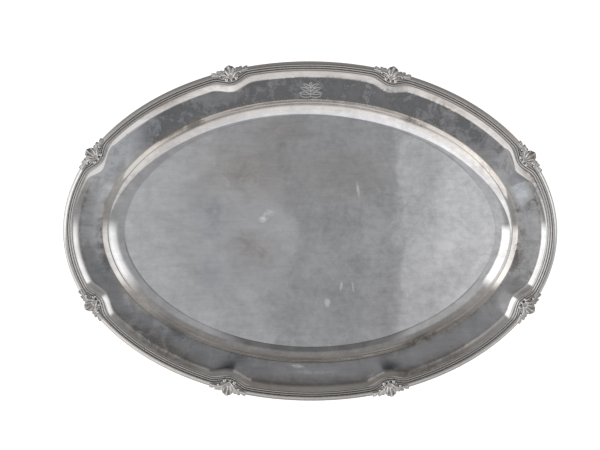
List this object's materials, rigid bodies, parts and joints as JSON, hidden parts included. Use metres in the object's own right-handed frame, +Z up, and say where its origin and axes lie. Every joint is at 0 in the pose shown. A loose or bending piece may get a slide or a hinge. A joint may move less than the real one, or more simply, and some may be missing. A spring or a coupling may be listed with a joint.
{
  "type": "oval serving dish",
  "caption": "Oval metal serving dish with a sunken well, wide flat rim, reeded border and cast shell mounts, for meat, fish or poultry.",
  "frame": {"origin": "middle of the underside of the well's floor, where the dish stands", "axes": "+X along the oval's long axis, +Y along its short axis, +Z up out of the well"},
  "size_m": [0.5, 0.3434, 0.0234],
  "materials": {
    "sheet_silver": "raised sheet silver, polished long ago and now satin with fine scratches and light tarnish",
    "border_silver": "drawn silver moulding, polished on its ridges, tarnished in its grooves",
    "cast_silver": "cast silver, bright on its ribs, dark tarnish in its recesses"
  },
  "bodies": {
    "root": {"tray_body": "sheet_silver", "border_section_1": "border_silver", "border_section_2": "border_silver", "border_section_3": "border_silver", "border_section_4": "border_silver", "border_section_5": "border_silver", "border_section_6": "border_silver", "border_section_7": "border_silver", "border_section_8": "border_silver", "shell_mount_1": "cast_silver", "shell_mount_2": "cast_silver", "shell_mount_3": "cast_silver", "shell_mount_4": "cast_silver", "shell_mount_5": "cast_silver", "shell_mount_6": "cast_silver", "shell_mount_7": "cast_silver", "shell_mount_8": "cast_silver"}
  },
  "joints": []
}
